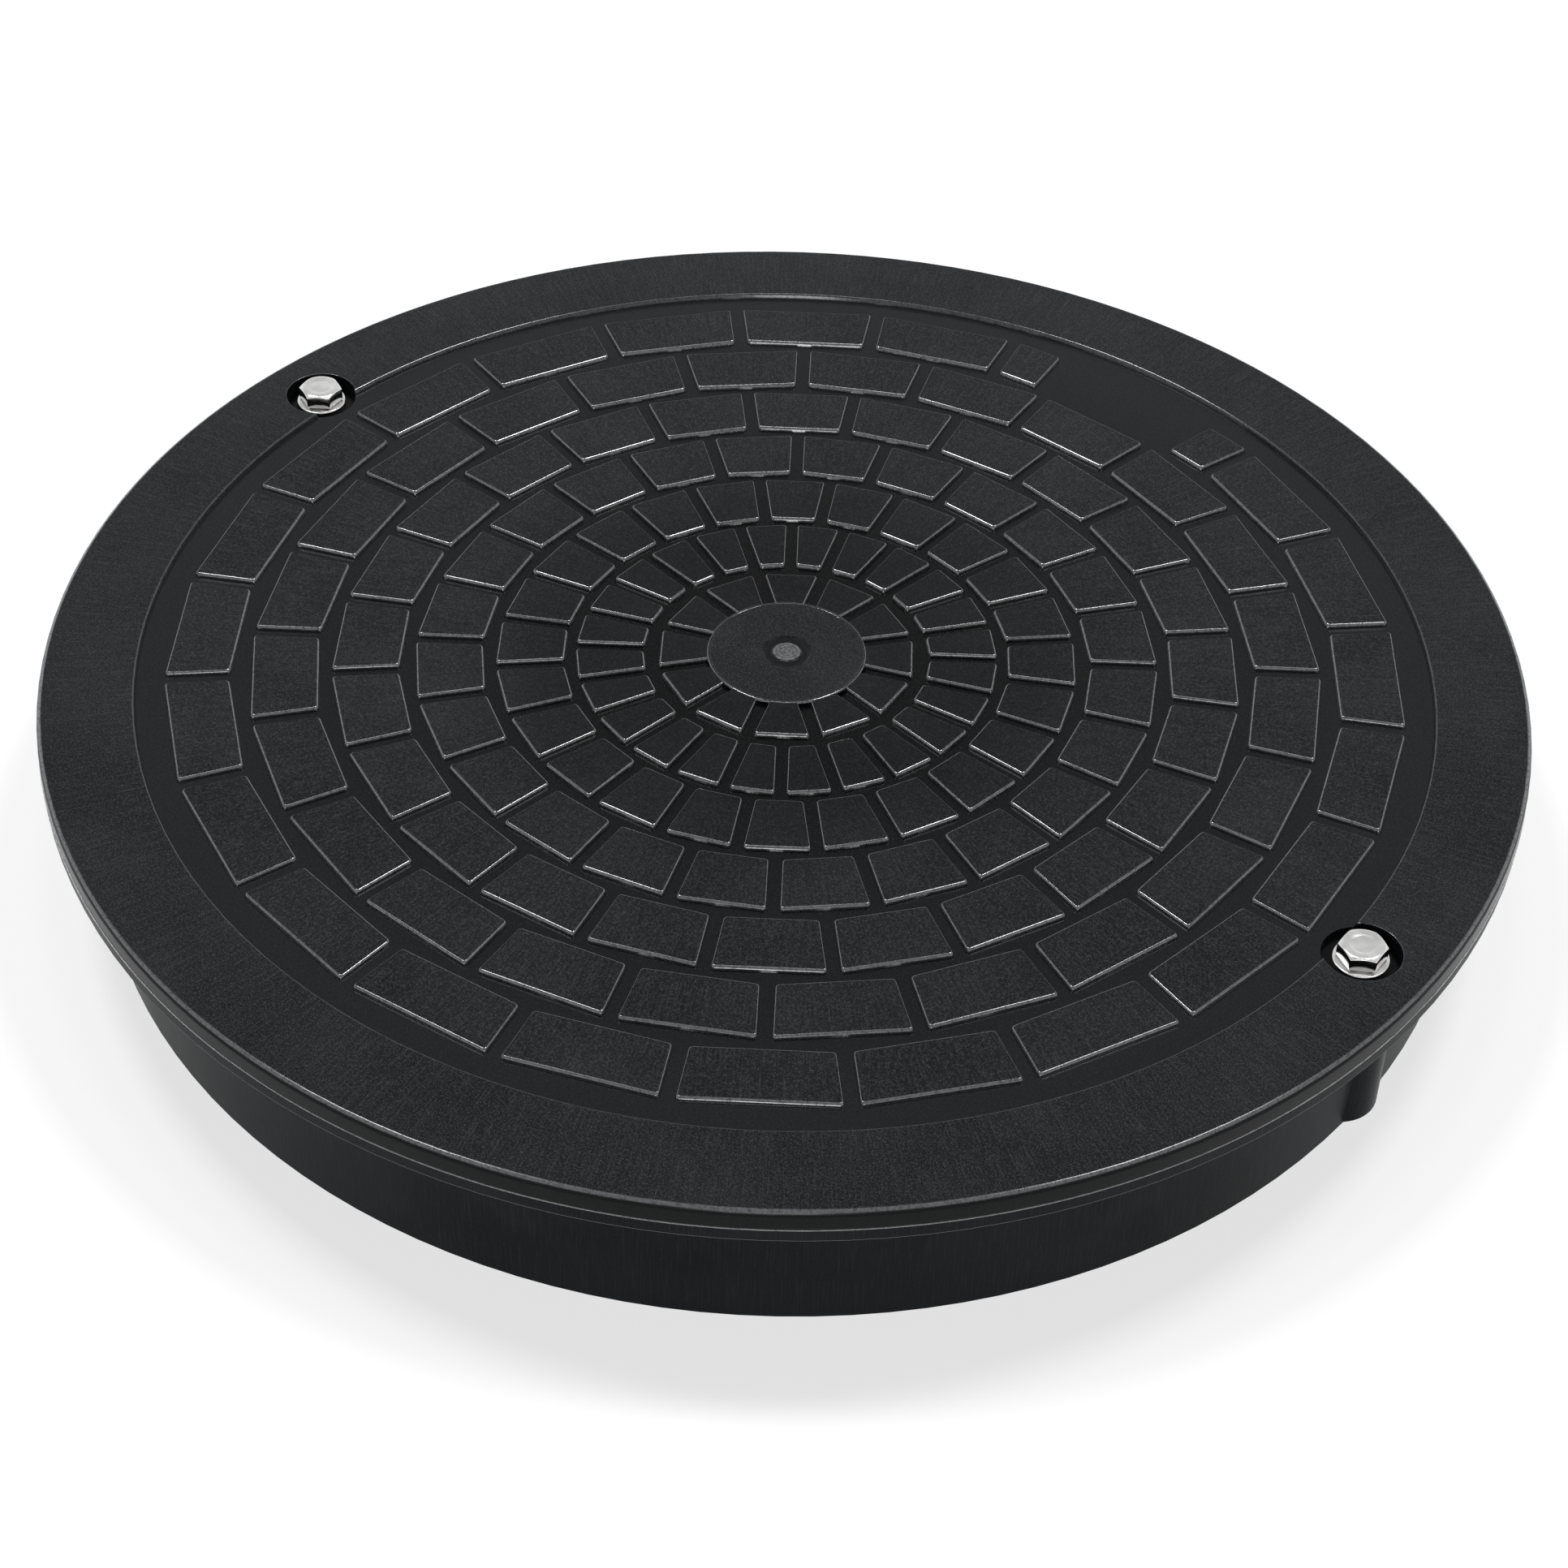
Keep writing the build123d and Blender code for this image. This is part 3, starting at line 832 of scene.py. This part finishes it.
def build_world():
    """White where it is seen, and a weak even light on the object."""
    world = bpy.data.worlds.new("studio")
    bpy.context.scene.world = world
    world.use_nodes = True
    tree = world.node_tree
    tree.nodes.clear()
    output = tree.nodes.new("ShaderNodeOutputWorld")
    background = tree.nodes.new("ShaderNodeBackground")
    background.inputs["Color"].default_value = (1.0, 1.0, 1.0, 1.0)
    split = tree.nodes.new("ShaderNodeSeparateXYZ")
    tree.links.new(tree.nodes.new("ShaderNodeTexCoord").outputs["Generated"], split.inputs[0])
    shown = smooth_ramp(tree, split.outputs[2], *WORLD_SEEN)
    strength = tree.nodes.new("ShaderNodeMix")
    tree.links.new(seen_directly(tree), strength.inputs[0])
    strength.inputs[2].default_value = WORLD_LIGHT
    tree.links.new(shown, strength.inputs[3])
    tree.links.new(strength.outputs[0], background.inputs["Strength"])
    tree.links.new(background.outputs[0], output.inputs["Surface"])


def area_lamp(name, place, target, size, power):
    data = bpy.data.lights.new(name, "AREA")
    data.shape = "RECTANGLE"
    data.size = size
    data.size_y = size
    data.energy = power
    lamp = bpy.data.objects.new(name, data)
    bpy.context.scene.collection.objects.link(lamp)
    lamp.location = place
    lamp.rotation_mode = "QUATERNION"
    lamp.rotation_quaternion = (Vector(target) - Vector(place)).to_track_quat("-Z", "Y")
    lamp.visible_camera = False
    return lamp


# The camera stands where the photograph was taken: 38.6 degrees round from the bare panel's side
CAMERA_TURN = math.radians(38.6)
CAMERA_BACK = 3.47118 * LID_RADIUS
CAMERA_UP = 2.84612 * LID_RADIUS
CAMERA_PITCH = -0.72682
CAMERA_YAW = 0.00053
CAMERA_ROLL = 0.03017
CAMERA_LENS = 76.04


def turned_place(x, y, z):
    """A place in the camera's own directions (right, away, up), turned into the model's frame."""
    return Matrix.Rotation(CAMERA_TURN, 3, "Z") @ Vector((x, y, z))


def build_camera():
    ahead = Vector((math.sin(CAMERA_YAW) * math.cos(CAMERA_PITCH),
                    math.cos(CAMERA_YAW) * math.cos(CAMERA_PITCH), math.sin(CAMERA_PITCH)))
    right = Vector((math.cos(CAMERA_YAW), -math.sin(CAMERA_YAW), 0))
    up = right.cross(ahead)
    rolled_right = right * math.cos(CAMERA_ROLL) + up * math.sin(CAMERA_ROLL)
    rolled_up = up * math.cos(CAMERA_ROLL) - right * math.sin(CAMERA_ROLL)
    axes = Matrix((rolled_right, rolled_up, -ahead)).transposed()
    axes = Matrix.Rotation(CAMERA_TURN, 3, "Z") @ axes
    data = bpy.data.cameras.new("camera")
    data.lens = CAMERA_LENS
    data.sensor_width = 36.0
    camera = bpy.data.objects.new("camera", data)
    bpy.context.scene.collection.objects.link(camera)
    stand = turned_place(0, -CAMERA_BACK, CAMERA_UP) + Vector((0, 0, LID_TOP))
    camera.matrix_world = Matrix.Translation(stand) @ axes.to_4x4()
    bpy.context.scene.camera = camera


# Each lamp's name, its place in the camera's own directions, its size and its power in watts
LAMPS = [
    ("overhead_left", (-1.25, 1.05, 3.7), 0.8, 72.0),
    ("overhead_right", (1.25, 1.05, 3.7), 0.8, 72.0),
    ("overhead_centre", (0, 1.0, 3.9), 0.6, 14.0),
    ("front_fill", (0, -4.0, 0.9), 1.0, 18.0),
]
LAMP_TARGET = (0, 0, 0.05)

build_floor()
build_world()
build_camera()
for lamp_name, lamp_place, lamp_size, lamp_power in LAMPS:
    area_lamp(lamp_name, turned_place(*lamp_place), LAMP_TARGET, lamp_size, lamp_power)
# This one lies on the floor inside the skirt, faces up, and lights only the underside
area_lamp("under_light", (0, 0, 0.0001), (0, 0, 1.0), 0.3, 0.5)

scene = bpy.context.scene
scene.view_settings.view_transform = "Standard"
